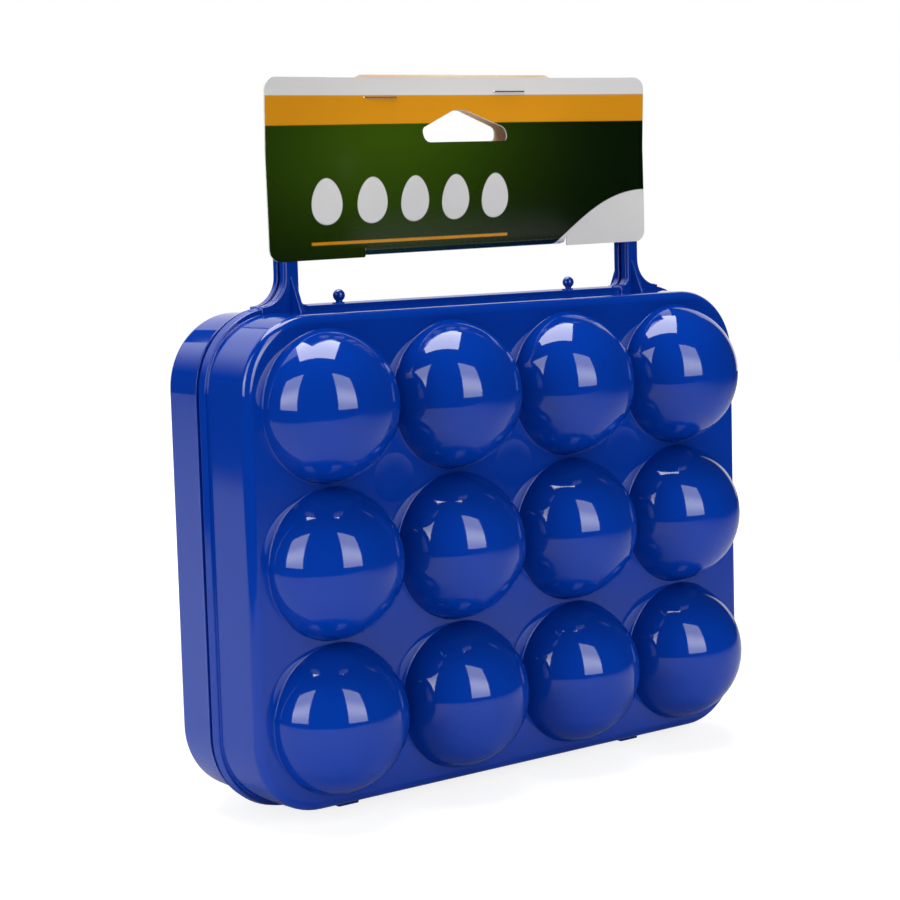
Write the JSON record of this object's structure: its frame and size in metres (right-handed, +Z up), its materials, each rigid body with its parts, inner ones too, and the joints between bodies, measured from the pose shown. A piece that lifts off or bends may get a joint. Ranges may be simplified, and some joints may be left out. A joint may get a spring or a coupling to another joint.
{
  "type": "egg holder",
  "caption": "Hinged plastic egg carrying case with domed cups on both half shells, a split carrying handle, ball catches and a folded header card",
  "frame": {"origin": "on the floor under the middle of the case, in the parting plane between the two half shells", "axes": "+Z up, +X to the right seen from the front, the front half faces -Y"},
  "size_m": [0.207, 0.0864, 0.2296],
  "materials": {
    "blue_plastic": "gloss",
    "printed_card": "gloss print",
    "staple_wire": "bright",
    "pin_steel": "bright"
  },
  "bodies": {
    "rear_half": {"rear_frame": "blue_plastic", "rear_cup_r1_c1": "blue_plastic", "rear_cup_r1_c2": "blue_plastic", "rear_cup_r1_c3": "blue_plastic", "rear_cup_r1_c4": "blue_plastic", "rear_cup_r2_c1": "blue_plastic", "rear_cup_r2_c2": "blue_plastic", "rear_cup_r2_c3": "blue_plastic", "rear_cup_r2_c4": "blue_plastic", "rear_cup_r3_c1": "blue_plastic", "rear_cup_r3_c2": "blue_plastic", "rear_cup_r3_c3": "blue_plastic", "rear_cup_r3_c4": "blue_plastic", "rear_handle": "blue_plastic", "rear_knuckle_1": "blue_plastic", "rear_knuckle_3": "blue_plastic", "rear_knuckle_5": "blue_plastic", "hinge_pin": "pin_steel", "catch_stud_left": "blue_plastic", "catch_stud_right": "blue_plastic"},
    "front_half": {"front_frame": "blue_plastic", "front_cup_r1_c1": "blue_plastic", "front_cup_r1_c2": "blue_plastic", "front_cup_r1_c3": "blue_plastic", "front_cup_r1_c4": "blue_plastic", "front_cup_r2_c1": "blue_plastic", "front_cup_r2_c2": "blue_plastic", "front_cup_r2_c3": "blue_plastic", "front_cup_r2_c4": "blue_plastic", "front_cup_r3_c1": "blue_plastic", "front_cup_r3_c2": "blue_plastic", "front_cup_r3_c3": "blue_plastic", "front_cup_r3_c4": "blue_plastic", "front_handle": "blue_plastic", "front_knuckle_2": "blue_plastic", "front_knuckle_4": "blue_plastic", "catch_fork_left": "blue_plastic", "catch_fork_right": "blue_plastic", "header_card": "printed_card", "staple_left": "staple_wire", "staple_right": "staple_wire"}
  },
  "joints": [
    {"name": "lid_hinge", "type": "hinge", "parent": "rear_half", "child": "front_half", "pos_m": [0, 0, 0.0019], "axis": [1, 0, 0], "range_deg": [0, 180]}
  ]
}
